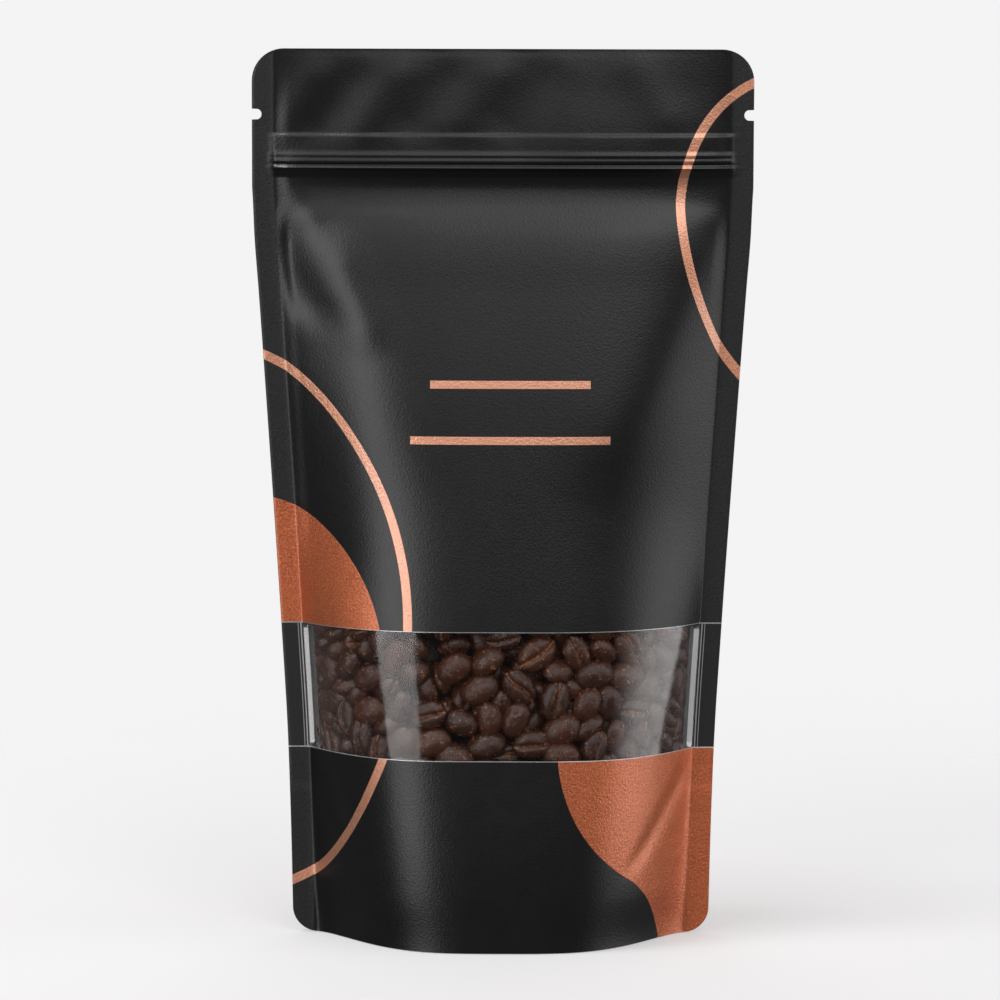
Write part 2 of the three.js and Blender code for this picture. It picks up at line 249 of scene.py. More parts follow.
def panel_points(side, creases):
    """Outer face of one panel, side -1 in front and 1 behind, and its place (u, v) on the flat film"""
    x = across(rows)
    inner = seal_line(rows)
    flat_z = np.repeat(rows[:, None], columns, 1)
    reach = np.clip(1 - (x / inner) ** 2, 0, 1)
    blend = smooth((flat_z - RISE_LOW) / RISE_BLEND)
    z = flat_z + WINDOW_RISE * reach * blend * smooth((RISE_HIGH - flat_z) / RISE_BLEND)
    depth = panel_depth(x, z, creases)
    depth[:, [0, -1]] = SEALED_EDGE
    depth[-1, :] = SEALED_EDGE
    film = slice(SEAL, columns - SEAL)
    steps = np.hypot(np.diff(x[:, film]), np.diff(depth[:, film]))
    length = np.hstack([np.zeros((len(rows), 1)), np.cumsum(steps, 1)])
    middle = (len(film_columns) - 1) // 2
    length -= length[:, middle:middle + 1]
    u = x.copy()
    u[:, film] = FLAT_HALF * np.where(length < 0, length / -length[:, :1], length / length[:, -1:])
    u[:, :SEAL] += inner - FLAT_HALF
    u[:, -SEAL:] -= inner - FLAT_HALF
    return np.stack([x, side * depth, z], -1), np.stack([u, flat_z], -1)


def grid_faces(numbers, turned=False, keep=None):
    """Quads between neighbouring points of a grid of point numbers, facing right x up"""
    quads = np.stack([numbers[:-1, :-1], numbers[:-1, 1:], numbers[1:, 1:], numbers[1:, :-1]], -1)
    quads = quads[keep] if keep is not None else quads.reshape(-1, 4)
    return quads[:, ::-1] if turned else quads


def mesh_piece(name, points, faces, materials, face_materials=None, sharp=50):
    """A smooth-shaded object of points in millimetres"""
    mesh = bpy.data.meshes.new(name)
    mesh.from_pydata((np.asarray(points) * MM).tolist(), [], [list(map(int, f)) for f in faces])
    for material in materials:
        mesh.materials.append(material)
    if face_materials is not None:
        mesh.polygons.foreach_set("material_index", np.asarray(face_materials, dtype=np.int32))
    mesh.shade_smooth()
    mesh.set_sharp_from_angle(angle=np.radians(sharp))
    piece = bpy.data.objects.new(name, mesh)
    bpy.context.scene.collection.objects.link(piece)
    return piece


front, front_film = panel_points(-1, FRONT_CREASES)
back, back_film = panel_points(1, BACK_CREASES)

# Gusset: from the rim it folds up, and its middle comes down again under the weight of the beans
RIM_WIDTH, RISE_RUN = 1.2, 4.0
GUSSET_RISE, GUSSET_SAG, SAG_START, SAG_RUN = 2.6, 0.9, 5.0, 11.0
FOLD_DEPTH, FOLD_WIDTH, FOLD_START, FOLD_RUN = 0.7, 1.1, 3.0, 6.0
fore_to_aft = np.sin(np.linspace(-np.pi / 2, np.pi / 2, 41))[1:-1, None]
gusset_y = np.where(fore_to_aft < 0, -front[0, :, 1] * fore_to_aft, back[0, :, 1] * fore_to_aft)
from_rim = np.minimum(gusset_y - front[0, :, 1], back[0, :, 1] - gusset_y)
sag = 1 - GUSSET_SAG * smooth((from_rim - SAG_START) / SAG_RUN)
lift = smooth((from_rim - RIM_WIDTH) / RISE_RUN) * sag
fold_line = FOLD_DEPTH * np.exp(-((gusset_y / FOLD_WIDTH) ** 2))
fold_line = fold_line * smooth((from_rim - FOLD_START) / FOLD_RUN)
gusset_x = np.repeat(front[:1, :, 0], len(gusset_y), 0)
gusset_z = GUSSET_RISE * lift + fold_line + front[0, :, 2]
gusset = np.stack([gusset_x, gusset_y, gusset_z], -1)

# Lining: the film's silver inner face. It closes the opening of the window all round.
FILM_THICKNESS = 0.25
LINING_LOW, LINING_HIGH = 4.0, 204.0
LINING_MARGIN = 6.0               # every row is kept this near to the window, and one in five elsewhere
NARROWING, NARROW_START, NARROW_RUN = 0.5, 24.0, 10.0     # up and down from the window's middle
film = slice(SEAL, columns - SEAL)
near_window = (rows >= WINDOW_BOTTOM - LINING_MARGIN) & (rows <= WINDOW_TOP + LINING_MARGIN)
inside = (rows > LINING_LOW) & (rows < LINING_HIGH)
lining_rows = np.flatnonzero(inside & (near_window | (np.arange(len(rows)) % 5 == 0)))
from_window = np.abs(rows - (WINDOW_BOTTOM + WINDOW_TOP) / 2)
away = smooth((from_window - NARROW_START) / NARROW_RUN)[:, None]


def lining_points(panel):
    """The inner face of a panel"""
    lining = panel[:, film].copy()
    depth = np.abs(lining[..., 1])
    thin = np.minimum(FILM_THICKNESS, depth / 2)
    lining[..., 1] = np.sign(lining[..., 1]) * (depth - thin) * (1 - NARROWING * away)
    return lining[lining_rows]


front_lining = lining_points(front)
back_lining = lining_points(back)

sheets = [front, back, gusset, front_lining, back_lining]
starts = np.cumsum([0] + [sheet.size // 3 for sheet in sheets])
front_n, back_n, gusset_n, front_in, back_in = [
    np.arange(start, start + sheet.size // 3).reshape(sheet.shape[:2])
    for sheet, start in zip(sheets, starts)
]

row_middle = (rows[:-1] + rows[1:]) / 2
opening_rows = (row_middle > WINDOW_BOTTOM) & (row_middle < WINDOW_TOP)
opening_columns = np.zeros(columns - 1, bool)
opening_columns[SEAL:columns - SEAL - 1] = True
closed = ~(opening_rows[:, None] & opening_columns)
low_row, high_row = np.flatnonzero(opening_rows)[[0, -1]] + [0, 1]
lining_z = rows[lining_rows]
lining_opening = ((lining_z[:-1] + lining_z[1:]) / 2 > WINDOW_BOTTOM) & (lining_z[1:] <= WINDOW_TOP)
low_in, high_in = np.flatnonzero(lining_opening)[[0, -1]] + [0, 1]
lining_closed = np.repeat(~lining_opening[:, None], len(film_columns) - 1, 1)
left, right = SEAL, columns - SEAL - 1
window_rows = slice(low_row, high_row + 1)
window_in = slice(low_in, high_in + 1)
outer_faces = [
    grid_faces(front_n, keep=closed),
    grid_faces(back_n, turned=True),
    grid_faces(np.vstack([front_n[:1], gusset_n, back_n[:1]]), turned=True),
    grid_faces(np.stack([front_n[-1], back_n[-1]])),
    grid_faces(np.stack([front_n[:, -1], back_n[:, -1]], 1)),
    grid_faces(np.stack([front_n[:, 0], back_n[:, 0]], 1), turned=True),
]
lining_faces = [
    grid_faces(front_in, turned=True, keep=lining_closed),
    grid_faces(back_in),
    grid_faces(np.stack([front_in[0], back_in[0]])),
    grid_faces(np.stack([front_in[-1], back_in[-1]]), turned=True),
    grid_faces(np.stack([front_in[:, -1], back_in[:, -1]], 1), turned=True),
    grid_faces(np.stack([front_in[:, 0], back_in[:, 0]], 1)),
    grid_faces(np.stack([front_n[low_row, film], front_in[low_in]])),
    grid_faces(np.stack([front_n[high_row, film], front_in[high_in]]), turned=True),
    grid_faces(np.stack([front_n[window_rows, left], front_in[window_in, 0]], 1)),
    grid_faces(np.stack([front_n[window_rows, right], front_in[window_in, -1]], 1), turned=True),
]
outer_faces = np.vstack(outer_faces)
lining_faces = np.vstack(lining_faces)


class Shade:
    """An output of a shader node. Operators on it add Math nodes, and node() adds any other node."""

    def __init__(self, tree, socket=None):
        self.tree = tree
        self.socket = socket

    def node(self, kind, settings=None, inputs=None, output=0):
        made = self.tree.nodes.new("ShaderNode" + kind)
        for name, value in (settings or {}).items():
            setattr(made, name, value)
        for name, value in (inputs or {}).items():
            if isinstance(value, Shade):
                self.tree.links.new(value.socket, made.inputs[name])
            else:
                made.inputs[name].default_value = value
        return Shade(self.tree, made.outputs[output] if made.outputs else None)

    def maths(self, operation, *values, clamped=False):
        settings = {"operation": operation, "use_clamp": clamped}
        return self.node("Math", settings, dict(enumerate(values)))

    def __add__(self, other):
        return self.maths("ADD", self, other)

    def __radd__(self, other):
        return self.maths("ADD", other, self)

    def __sub__(self, other):
        return self.maths("SUBTRACT", self, other)

    def __rsub__(self, other):
        return self.maths("SUBTRACT", other, self)

    def __mul__(self, other):
        return self.maths("MULTIPLY", self, other)

    def __rmul__(self, other):
        return self.maths("MULTIPLY", other, self)

    def __truediv__(self, other):
        return self.maths("DIVIDE", self, other)

    def __rtruediv__(self, other):
        return self.maths("DIVIDE", other, self)

    def __pow__(self, other):
        return self.maths("POWER", self, other)

    def root(self):
        return self.maths("SQRT", self)

    def size(self):
        return self.maths("ABSOLUTE", self)

    def either(self, other):
        return self.maths("MAXIMUM", self, other)

    def both(self, other):
        return self.maths("MINIMUM", self, other)

    def inside(self, blur=0.12):
        """1 where this distance in millimetres is positive, 0 where it is negative, with a soft edge"""
        return self.maths("MULTIPLY_ADD", self, 1 / blur, 0.5, clamped=True)

    def colour(self, low, high):
        """From colour low to colour high as this goes from 0 to 1"""
        return self.node("Mix", {"data_type": "RGBA"}, {0: self, 6: low, 7: high}, output=2)

    def noise(self, scale, detail=2.0, roughness=0.5):
        """Noise of the given scale in lumps a metre, on the object's own coordinates"""
        place = self.node("TexCoord", output="Object")
        inputs = {"Vector": place, "Scale": scale, "Detail": detail, "Roughness": roughness}
        return self.node("TexNoise", {}, inputs)


def new_finish(name):
    """A new material, and the Shade that starts its nodes"""
    material = bpy.data.materials.new(name)
    material.use_nodes = True
    material.node_tree.nodes.clear()
    return material, Shade(material.node_tree)


def coat_surface(shade, shader):
    shade.node("OutputMaterial", {}, {"Surface": shader})


# Print on the film, in millimetres of flat film: u from the middle, v from the foot
RING_WIDTH = 2.6
LEFT_RING = (-92.1, 90.0, 67.3, 80.8, 1.9)       # centre u and v, half width, half height, turn
LEFT_DISC = (-83.2, 81.9, 50.0, 44.2, -10.0)
RIGHT_RING = (104.0, 190.4, 47.4, 62.9, 44.9)
RIGHT_DISC = (57.0, 56.0, 41.6)                  # centre u and v, radius
RIGHT_HOLLOW = (20.0, -10.0, 34.06)              # touches the disc at the height of HOLLOW_TOP
HOLLOW_TOP, HOLLOW_LEFT = 19.71, 30.0
RULES = ((2.2, 157.6, 22.2, 1.1), (2.2, 142.2, 27.8, 1.1))    # centre u and v, half length, half width
GUSSET_FILM_TOP = -5.0                            # v of the gusset's film, well below the print
EDGE_LINE = 0.16
SEAM_LINES = (FLAT_HALF + 0.5, FLAT_HALF + 1.3)

BLACK = (0.0032, 0.0032, 0.0036, 1.0)
BLACK_WORN = (0.0052, 0.0052, 0.0058, 1.0)
# The sealed film's lighter black is partly its hazier face and partly a painted sheen
SEAL_BLACK_AND_SHEEN = (0.0118, 0.012, 0.013, 1.0)
COPPER = (0.74, 0.198, 0.074, 1.0)
COPPER_DEEP = (0.44, 0.106, 0.038, 1.0)
LINE_HIGHLIGHT_COPPER = (0.76, 0.34, 0.205, 1.0)            # the thin lines: a lighter copper that is a painted highlight
SILVER, SILVER_SHARE = (0.62, 0.62, 0.63, 1.0), 0.85
FILM_ROUGHNESS, COPPER_ROUGHNESS, SEALED_HAZE, COPPER_METAL = 0.27, 0.36, 0.13, 0.74
LINING_DULL = (0.74, 0.74, 0.76, 1.0)
LINING_BRIGHT = (0.90, 0.90, 0.91, 1.0)

black_film, shade = new_finish("matte_black_film")
place = shade.node("UVMap", {"uv_map": "film"})
u = shade.node("SeparateXYZ", {}, {0: place}, output=0) / MM
v = shade.node("SeparateXYZ", {}, {0: place}, output=1) / MM
position = shade.node("NewGeometry", output="Position")
to_rear = shade.node("SeparateXYZ", {}, {0: position}, output=1)
in_front = shade.maths("LESS_THAN", to_rear, 0.0)


def within_ellipse(centre_u, centre_v, half_width, half_height, turn):
    turn = np.radians(turn)
    du, dv = u - centre_u, v - centre_v
    along_width = (du * np.cos(turn) + dv * np.sin(turn)) / half_width
    along_height = (dv * np.cos(turn) - du * np.sin(turn)) / half_height
    reach = (along_width * along_width + along_height * along_height).root()
    return ((1 - reach) * min(half_width, half_height)).inside()


def within_circle(centre_u, centre_v, radius):
    du, dv = u - centre_u, v - centre_v
    return (radius - (du * du + dv * dv).root()).inside()


def ring(centre_u, centre_v, half_width, half_height, turn):
    outside = within_ellipse(centre_u, centre_v, half_width, half_height, turn)
    hole = within_ellipse(centre_u, centre_v, half_width - RING_WIDTH, half_height - RING_WIDTH, turn)
    return outside - hole


above_window = (v - WINDOW_TOP).inside()
below_window = (WINDOW_BOTTOM - v).inside()
band = in_front * (1 - above_window) * (1 - below_window)
left_disc = within_ellipse(*LEFT_DISC) * (1 - in_front * (1 - above_window))
lower_right = (1 - within_circle(*RIGHT_HOLLOW)) * (u - HOLLOW_LEFT).inside()
upper_right = within_circle(*RIGHT_DISC) * (1 - in_front * (1 - below_window))
low_part = (HOLLOW_TOP - v).inside()
right_disc = low_part * lower_right + (1 - low_part) * upper_right
lines = ring(*LEFT_RING).either(ring(*RIGHT_RING))
for rule_u, rule_v, half_length, half_width in RULES:
    along_rule = half_length - (u - rule_u).size()
    lines = lines.either(along_rule.both(half_width - (v - rule_v).size()).inside() * in_front)
copper = lines.either(left_disc).either(right_disc) * (1 - band) * v.inside()
edge_lines = (EDGE_LINE - (v - WINDOW_TOP).size()).either(EDGE_LINE - (v - WINDOW_BOTTOM).size())
seam_lines = (EDGE_LINE - (u.size() - SEAM_LINES[0]).size()).either(
    EDGE_LINE / 2 - (u.size() - SEAM_LINES[1]).size())
silver = edge_lines.inside() * in_front
silver = silver.either(seam_lines.inside() * band) * SILVER_SHARE

mottle = shade.noise(180.0, 3.0, 0.6)
grain = shade.noise(1500.0, 2.0, 0.6)
flecks = shade.noise(2300.0, 1.0, 0.5)
sealed = (u.size() - FLAT_HALF).inside(0.8)          # heat-sealed film has a rougher, hazier face; its lighter base is partly a painted sheen
base = mottle.colour(BLACK, BLACK_WORN)
base = sealed.colour(base, SEAL_BLACK_AND_SHEEN)
copper_tone = (mottle * 0.5 + flecks * 2.6 - 1.05).colour(COPPER_DEEP, COPPER)
# The thin lines of the print take the lighter copper, a painted highlight
copper_tone = lines.colour(copper_tone, LINE_HIGHLIGHT_COPPER)
base = copper.colour(base, copper_tone)
base = silver.colour(base, SILVER)
film_roughness = FILM_ROUGHNESS + 0.05 * mottle + 0.04 * flecks
copper_roughness = COPPER_ROUGHNESS + 0.10 * flecks
roughness = film_roughness * (1 - copper) + copper_roughness * copper + SEALED_HAZE * sealed
relief = grain * (0.8 + 2.0 * copper + 0.5 * sealed) + flecks * (0.4 + 0.7 * copper)
normal = shade.node("Bump", {}, {"Strength": 0.3, "Distance": 0.00022, "Height": relief})
surface = shade.node("BsdfPrincipled", {}, {
    "Base Color": base,
    "Metallic": (copper * COPPER_METAL).either(silver),
    "Roughness": roughness,
    "Coat Weight": copper * (0.6 + 0.4 * lines),
    "Coat Roughness": 0.3,
    "Coat IOR": 1.7,
    "Normal": normal,
    "IOR": 1.5,
})
coat_surface(shade, surface)

silver_lining, shade = new_finish("silver_lining")
wrinkles = shade.noise(260.0, 3.0, 0.6)
normal = shade.node("Bump", {}, {"Strength": 0.35, "Distance": 0.0004, "Height": wrinkles})
surface = shade.node("BsdfPrincipled", {}, {
    "Base Color": wrinkles.colour(LINING_DULL, LINING_BRIGHT),
    "Metallic": 0.3,
    "Roughness": 0.36 + 0.12 * wrinkles,
    "Normal": normal,
})
coat_surface(shade, surface)

pouch_points = np.vstack([sheet.reshape(-1, 3) for sheet in sheets])
pouch = mesh_piece("foil_pouch", pouch_points, np.vstack([outer_faces, lining_faces]),
                   [black_film, silver_lining], [0] * len(outer_faces) + [1] * len(lining_faces))
gusset_film = np.stack([gusset_x, GUSSET_FILM_TOP - from_rim], -1)
on_film = np.vstack([front_film.reshape(-1, 2), back_film.reshape(-1, 2), gusset_film.reshape(-1, 2),
                     front_lining[..., ::2].reshape(-1, 2), back_lining[..., ::2].reshape(-1, 2)]) * MM
corners = np.empty(len(pouch.data.loops), dtype=np.int32)
pouch.data.loops.foreach_get("vertex_index", corners)
pouch.data.uv_layers.new(name="film").data.foreach_set("uv", on_film[corners].ravel())
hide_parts("pouch")
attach(pouch, "root")


# Clear film of the window: a thin glossy strip, sealed behind the edges of the opening. The beans
# press against it, so it is slightly wavy.
CLEAR_THICKNESS = 0.1
CLEAR_LAP = 1.0
CLEAR_SHARE = 0.9985              # of the way to the side seals
CLEAR_STEP = 0.9
WAVE, WAVE_PITCH, WAVE_START, WAVE_MARGIN = 0.018, 11.0, 5.0, 0.1
TOE, LEFT_TOE_SLOPE, RIGHT_TOE_SLOPE, TOE_END = 1.7, 0.36, 0.75, 0.8      # where it leaves the side seals
LEAST_DEPTH = 0.02
REFLECTION, HAZE, ASLANT, EDGE_ON, RIM_SHINE = 0.017, 0.006, 0.42, 0.8, 0.09     # shares of the light
clear_rows = spaced(WINDOW_BOTTOM - CLEAR_LAP, WINDOW_TOP + CLEAR_LAP, CLEAR_STEP)
clear_across = film_columns * CLEAR_SHARE


def window_face(behind):
    """The film's face, so far behind the outer face of the front panel, and how much of it is toe"""
    x = inner_width(clear_rows)[:, None] * clear_across
    flat_z = np.repeat(clear_rows[:, None], len(clear_across), 1)
    z = flat_z + WINDOW_RISE * (1 - clear_across**2)
    from_edge = np.minimum(flat_z - WINDOW_BOTTOM, WINDOW_TOP - flat_z)
    pitch = 2 * np.pi / WAVE_PITCH
    wave = np.sin(x * pitch + 1.7 * np.sin(z * pitch * 0.8))
    wave = wave * np.sin(z * pitch * 1.15 + 0.9 * np.sin(x * 0.31))
    fade = smooth(from_edge / WAVE_START) * smooth((1 - np.abs(clear_across)) / WAVE_MARGIN)
    depth = panel_depth(x, z, FRONT_CREASES) + wave * WAVE * fade
    from_seal = inner_width(clear_rows)[:, None] * (1 - np.abs(clear_across))
    toe = (1 - smooth(from_seal / TOE - 1)) * smooth(from_edge / TOE_END)
    toe_depth = SEAL_THICKNESS / 2 + from_seal * np.where(x < 0, LEFT_TOE_SLOPE, RIGHT_TOE_SLOPE)
    depth = depth + toe * (toe_depth - depth) - behind
    return np.stack([x, -np.maximum(depth, LEAST_DEPTH), z], -1), toe


def slab_faces(shape):
    """Faces of a closed slab: a front grid of this shape, then a back one, and the four edges between"""
    front_n = np.arange(shape[0] * shape[1]).reshape(shape)
    back_n = front_n + front_n.size
    return np.vstack([
        grid_faces(front_n),
        grid_faces(back_n, turned=True),
        grid_faces(np.stack([front_n[0], back_n[0]]), turned=True),
        grid_faces(np.stack([front_n[-1], back_n[-1]])),
        grid_faces(np.stack([front_n[:, -1], back_n[:, -1]], 1)),
        grid_faces(np.stack([front_n[:, 0], back_n[:, 0]], 1), turned=True),
    ])


def mark_points(piece, name, values):
    """Keeps a number for each point of the mesh, for the material to read"""
    marks = piece.data.attributes.new(name, "FLOAT", "POINT")
    marks.data.foreach_set("value", np.asarray(values, np.float32).ravel())


clear_front, clear_rim = window_face(FILM_THICKNESS / 2)
clear_back, _ = window_face(FILM_THICKNESS / 2 + CLEAR_THICKNESS)

clear_film, shade = new_finish("clear_film")
facing = shade.node("LayerWeight", {}, {"Blend": 0.5}, output="Facing")
haze = shade.noise(900.0, 2.0, 0.6)
rim = shade.node("Attribute", {"attribute_name": "rim"}, output="Fac")
mirror = REFLECTION + HAZE * haze + ASLANT * facing * facing + EDGE_ON * facing ** 5.0 + RIM_SHINE * rim
gloss = shade.node("BsdfGlossy", {}, {"Color": (1, 1, 1, 1), "Roughness": 0.1})
through = shade.node("BsdfTransparent", {}, {"Color": (0.98, 0.98, 0.98, 1)})
coat_surface(shade, shade.node("MixShader", {}, {0: mirror, 1: through, 2: gloss}))

window_points = np.vstack([clear_front.reshape(-1, 3), clear_back.reshape(-1, 3)])
window = mesh_piece("window_film", window_points, slab_faces(clear_rim.shape), [clear_film])
mark_points(window, "rim", np.tile(clear_rim, (2, 1)))
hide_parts("window")
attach(window, "root")


# Roasted beans: dark brown, slightly oily, each with a domed back and a flat face split by a
# crease that holds reddish chaff. They lie loose and are pressed against the window.
BEAN_LENGTH, BEAN_WIDTH = 10.6, 8.0
BEAN_BACK, BEAN_FACE = 3.4, 2.3
CREASE_DEPTH, CREASE_HALF = 0.85, 0.5
LIP_HEIGHT, LIP_OFFSET, LIP_HALF = 0.25, 1.1, 0.55
SWAY, BEND, CURL = 0.35, 0.012, 0.012         # how far the beans differ from each other
LUMP_SIZE, FOLD_SIZE = 0.022, 0.014
FILL_LOW, FILL_HIGH, FILL_MARGIN = 45.0, 97.0, 2.0
LAYER_DEPTH = 13.0
FILM_CLEARANCE = 0.5
SIDE_GAP = 3.2
LOOSE_BEANS, LOOSE_SPREAD = 160, 0.97
SMALLEST, LARGEST, PLACED_LARGER = 0.88, 1.08, 0.07
PLACED_BEHIND, LOOSE_BEHIND = 3.2, 3.5        # from the film to a bean's middle
FILM_TURN_DEPTH = 62.0
PLACED_BEANS = (                  # x, z, turn in the view, the side that shows
    (-20, 66, 15, "face"), (-43, 78, 60, "back"), (-37, 75, 20, "back"), (-37, 66, 3, "back"),
    (-13, 79, 35, "back"), (-4, 81, 32, "edge"), (-6, 73, 25, "edge"), (-3, 65, 95, "back"),
    (-11, 64, -20, "back"), (-28, 68, 70, "back"), (-27, 58, 30, "back"), (-19, 58, 15, "back"),
    (-4, 58, 15, "edge"), (-13, 54, -15, "back"), (4, 65, 68, "back"), (10, 83, 37, "face"),
    (21, 83, -65, "face"), (5, 74, -50, "face"), (15, 70, 82, "face"), (26, 77, 10, "back"),
    (24, 69, 60, "back"), (9, 58, 8, "face"), (26, 57, 72, "face"), (37, 66, -3, "face"),
    (36, 84, -55, "face"), (35, 76, 0, "back"), (17, 55, -15, "back"), (17, 62, 30, "back"),
    (41, 72, 40, "back"), (45, 80, -60, "back"),
)
rng = np.random.default_rng(11)


def front_depth(x, z):
    return panel_depth(x, z, FRONT_CREASES)


def axis_turn(axis, angle):
    """Rotation matrices about one axis, for an array of angles"""
    c, s = np.cos(angle), np.sin(angle)
    turns = np.zeros((len(angle), 3, 3))
    i, j, k = axis, (axis + 1) % 3, (axis + 2) % 3
    turns[:, i, i] = 1
    turns[:, j, j] = turns[:, k, k] = c
    turns[:, j, k], turns[:, k, j] = -s, s
    return turns


# Where the beans start: the placed ones against the film, the loose ones scattered around them
placed = np.array([one[:3] for one in PLACED_BEANS], float)
sides = [one[3] for one in PLACED_BEANS]
beans = len(placed) + LOOSE_BEANS
reach = inner_width((FILL_LOW + FILL_HIGH) / 2)
loose_x = reach * np.sin(rng.uniform(-1, 1, LOOSE_BEANS) * np.pi / 2) * LOOSE_SPREAD
loose_z = rng.uniform(FILL_LOW + FILL_MARGIN, FILL_HIGH - FILL_MARGIN, LOOSE_BEANS)
centre = np.zeros((beans, 3))
centre[:, 0] = np.append(placed[:, 0], loose_x)
centre[:, 2] = np.append(placed[:, 1], loose_z)
behind = rng.uniform(LOOSE_BEHIND, LAYER_DEPTH, LOOSE_BEANS)
behind = np.append(np.full(len(placed), PLACED_BEHIND), behind)
centre[:, 1] = -(front_depth(centre[:, 0], centre[:, 2]) - behind)
scale = rng.uniform(SMALLEST, LARGEST, beans)
scale[:len(placed)] += PLACED_LARGER

# A bean is made with its length along x and its flat face down. Turned upright, it shows that face,
# its back or its edge to the viewer. The whole bean then turns with the film's curve.
UPRIGHT = {"face": -np.pi / 2, "back": np.pi / 2, "edge": 0.15}
upright = np.array([UPRIGHT[side] for side in sides])
turned = axis_turn(1, -np.radians(placed[:, 2])) @ axis_turn(0, upright)
loose_turn = axis_turn(1, rng.uniform(0, 2 * np.pi, LOOSE_BEANS))
loose_upright = rng.choice([-1, 1], LOOSE_BEANS) * np.pi / 2
loose_upright = loose_upright + rng.normal(0, 0.6, LOOSE_BEANS)
loose_turn = loose_turn @ axis_turn(0, loose_upright)
attitude = np.concatenate([turned, loose_turn])
heading = np.arctan2(centre[:, 0] * 1.1, FILM_TURN_DEPTH)
attitude = axis_turn(2, heading) @ attitude

# Each bean pushes its neighbours as a cluster of balls (x, y, z, radius) that keeps its shape. The
# placed ones are pulled back to their spots, and the film, the core and the seals hold all of them in.
BALLS = np.array([(0, 0, 0.45, 2.75), (2.9, 0, 0.3, 2.3), (-2.9, 0, 0.3, 2.3),
                  (0, 1.5, 0.35, 2.45), (0, -1.5, 0.35, 2.45)])
local = BALLS[None, :, :3] * scale[:, None, None]
radius = BALLS[None, :, 3] * scale[:, None]
middle = local.mean(1, keepdims=True)
pinned = np.zeros(beans)
pinned[:len(placed)] = 1
spots = (centre[:, None] + np.einsum("bij,bkj->bki", attitude, local))[:len(placed)]
SETTLING = 260
NEIGHBOUR_REACH = 13.5
PUSH, HIT_SHARE, PULL_BACK, DRIFT = 0.8, 0.6, 0.25, 0.008
FILM_PUSH, CORE_PUSH, CORE_FIRMNESS = 1.5, 1.0, 0.7
SLOPE_STEP = 0.2
for step in range(SETTLING):
    if step % 10 == 0:
        apart = np.linalg.norm(centre[:, None] - centre[None], axis=-1)
        first, second = np.nonzero(np.triu(apart < NEIGHBOUR_REACH, 1))
    balls = centre[:, None] + np.einsum("bij,bkj->bki", attitude, local)
    gap = balls[first][:, :, None] - balls[second][:, None]
    distance = np.linalg.norm(gap, axis=-1) + 1e-9
    overlap = np.maximum(0, radius[first][:, :, None] + radius[second][:, None] - distance)
    push = gap / distance[..., None] * (overlap / 2)[..., None] * PUSH
    share = 2 / (2 + 2 * pinned)
    moves = np.zeros_like(balls)
    np.add.at(moves, first, push.sum(2) * share[first][:, None, None])
    np.add.at(moves, second, -push.sum(1) * share[second][:, None, None])
    hits = np.zeros(balls.shape[:2])
    np.add.at(hits, first, (overlap > 0).sum(2))
    np.add.at(hits, second, (overlap > 0).sum(1))
    balls = balls + moves / np.maximum(1, hits * HIT_SHARE)[..., None]
    balls[:len(placed)] += PULL_BACK * (spots - balls[:len(placed)])
    x, y, z = balls[..., 0], balls[..., 1], balls[..., 2]
    slope_x = front_depth(x + SLOPE_STEP, z) - front_depth(x - SLOPE_STEP, z)
    slope_z = front_depth(x, z + SLOPE_STEP) - front_depth(x, z - SLOPE_STEP)
    slope_x, slope_z = slope_x / (2 * SLOPE_STEP), slope_z / (2 * SLOPE_STEP)
    steepness = np.sqrt(1 + slope_x**2 + slope_z**2)
    outward = np.stack([-slope_x, -np.ones_like(x), -slope_z], -1) / steepness[..., None]
    depth = front_depth(x, z)
    past_film = (-y - depth + FILM_CLEARANCE) / steepness + radius
    balls = balls - outward * np.clip(past_film, 0, FILM_PUSH)[..., None]
    past_core = (np.maximum(depth - LAYER_DEPTH, -depth) + y) / steepness + radius
    balls = balls + outward * np.clip(past_core, 0, CORE_PUSH)[..., None] * CORE_FIRMNESS
    balls = balls + outward * DRIFT
    balls[..., 2] = np.clip(balls[..., 2], FILL_LOW, FILL_HIGH)
    edge = inner_width(balls[..., 2]) - SIDE_GAP - radius
    balls[..., 0] = np.clip(balls[..., 0], -edge, edge)
    new_middle = balls.mean(1, keepdims=True)
    spread = np.einsum("bki,bkj->bij", balls - new_middle, local - middle)
    left_side, _, right_side = np.linalg.svd(spread)
    flip = np.sign(np.linalg.det(left_side @ right_side))
    left_side[:, :, 2] *= flip[:, None]
    attitude = left_side @ right_side
    centre = new_middle[:, 0] - np.einsum("bij,bj->bi", attitude, middle[:, 0])


